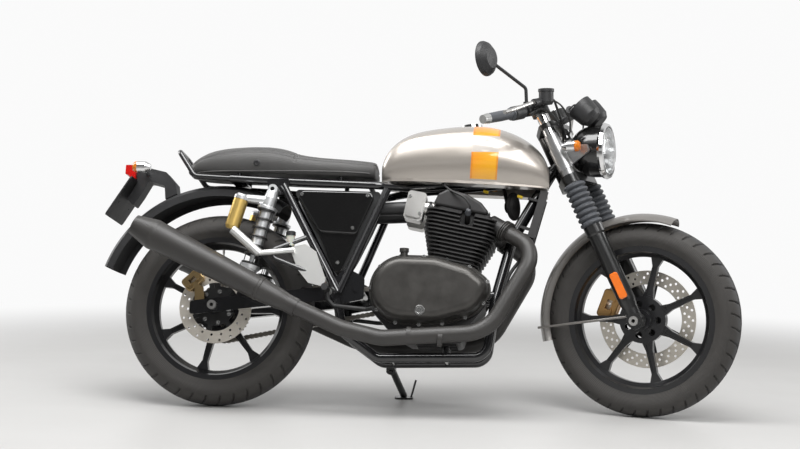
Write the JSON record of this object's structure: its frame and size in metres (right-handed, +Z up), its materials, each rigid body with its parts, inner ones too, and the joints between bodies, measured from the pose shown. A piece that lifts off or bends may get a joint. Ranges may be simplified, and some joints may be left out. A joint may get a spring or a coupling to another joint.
{
  "type": "cafe racer motorcycle",
  "caption": "Cafe racer motorcycle with a finned engine in a tube frame, long tank, single hump seat, low bars, black exhausts and cast wheels, leaning on its side stand.",
  "frame": {"origin": "on the floor, at the centre of the parked bike's footprint box", "axes": "+X forward along the bike, +Y to the rider's left, the side it leans to, +Z up from the floor"},
  "size_m": [2.0945, 0.7674, 1.2038],
  "materials": {
    "gloss_black_paint": "gloss black enamel",
    "satin_black_paint": "satin black heat paint",
    "cover_grey": "satin dark grey powder coat",
    "matt_black_paint": "matt black heat coating",
    "bare_aluminium": "brushed and polished",
    "shroud_silver": "silver paint",
    "tank_silver": "silver metallic with an orange stripe",
    "mudguard_grey": "grey metallic paint",
    "black_plastic": "fine grain",
    "seat_leather": "charcoal leathercloth",
    "chrome_plate": "bright",
    "shock_silver": "satin",
    "spring_black": "gloss powder coat",
    "gold_anodise": "gold anodised",
    "boot_rubber": "moulded",
    "leg_black": "satin black",
    "lamp_black": "gloss black",
    "lamp_glass": "clear",
    "amber_lens": "clear amber",
    "red_lens": "clear red",
    "mirror_silver": "silvered",
    "wheel_black": "gloss black",
    "tyre_rubber": "black",
    "disc_steel": "ground",
    "chain_steel": "oiled",
    "hose_black": "smooth"
  },
  "bodies": {
    "chassis": {"frame_spine": "gloss_black_paint", "frame_cradle": "gloss_black_paint", "frame_rear": "gloss_black_paint", "engine_cases": "satin_black_paint", "cylinder_block": "satin_black_paint", "rocker_cover": "satin_black_paint", "engine_covers": "cover_grey", "intake_bodies": "bare_aluminium", "airbox": "black_plastic", "side_covers": "black_plastic", "fuel_tank": "tank_silver", "fuel_cap": "chrome_plate", "seat": "seat_leather", "exhaust_headers": "matt_black_paint", "silencers": "matt_black_paint", "rear_mudguard": "black_plastic", "plate_holder": "black_plastic", "tail_lens": "red_lens", "rear_indicators": "chrome_plate", "rear_indicator_lenses": "amber_lens", "grab_rail": "gloss_black_paint", "swingarm": "gloss_black_paint", "rear_axle": "bare_aluminium", "chain": "chain_steel", "shock_bodies": "shock_silver", "shock_springs": "spring_black", "shock_reservoirs": "gold_anodise", "foot_controls": "bare_aluminium", "oil_cooler": "satin_black_paint", "horn": "satin_black_paint", "rear_caliper": "gold_anodise"},
    "steering": {"fork_yokes": "leg_black", "fork_tubes": "chrome_plate", "fork_covers": "shroud_silver", "fork_boots": "boot_rubber", "fork_legs": "leg_black", "front_axle": "bare_aluminium", "front_mudguard": "mudguard_grey", "front_caliper": "gold_anodise", "brake_hose": "hose_black", "headlamp_shell": "lamp_black", "headlamp_rim": "chrome_plate", "headlamp_lens": "lamp_glass", "front_indicators": "chrome_plate", "front_indicator_lenses": "amber_lens", "clocks": "black_plastic", "handlebars": "leg_black", "grips": "boot_rubber", "bar_controls": "black_plastic", "hand_levers": "bare_aluminium", "mirror": "black_plastic", "mirror_glass": "mirror_silver"},
    "front_wheel": {"front_tyre": "tyre_rubber", "front_wheel": "wheel_black", "front_disc": "disc_steel"},
    "rear_wheel": {"rear_tyre": "tyre_rubber", "rear_wheel": "wheel_black", "rear_disc": "disc_steel", "rear_sprocket": "chain_steel"},
    "side_stand": {"side_stand": "leg_black"}
  },
  "joints": [
    {"name": "steering", "type": "hinge", "parent": "chassis", "child": "steering", "pos_m": [0.46277, -0.03345, 0.82803], "axis": [-0.4167, 0.1923, 0.8885], "range_deg": [-14, 56]},
    {"name": "front_wheel_spin", "type": "hinge", "parent": "steering", "child": "front_wheel", "pos_m": [0.74761, -0.15984, 0.31366], "axis": [0.3262, 0.9439, -0.0513], "continuous": true},
    {"name": "rear_wheel_spin", "type": "hinge", "parent": "chassis", "child": "rear_wheel", "pos_m": [-0.64991, -0.14439, 0.31243], "axis": [0.0005, 0.9774, -0.2113], "continuous": true},
    {"name": "side_stand_fold", "type": "hinge", "parent": "chassis", "child": "side_stand", "pos_m": [-0.08148, -0.03719, 0.11865], "axis": [0.0579, 0.7432, 0.6666], "range_deg": [0, 98]}
  ]
}
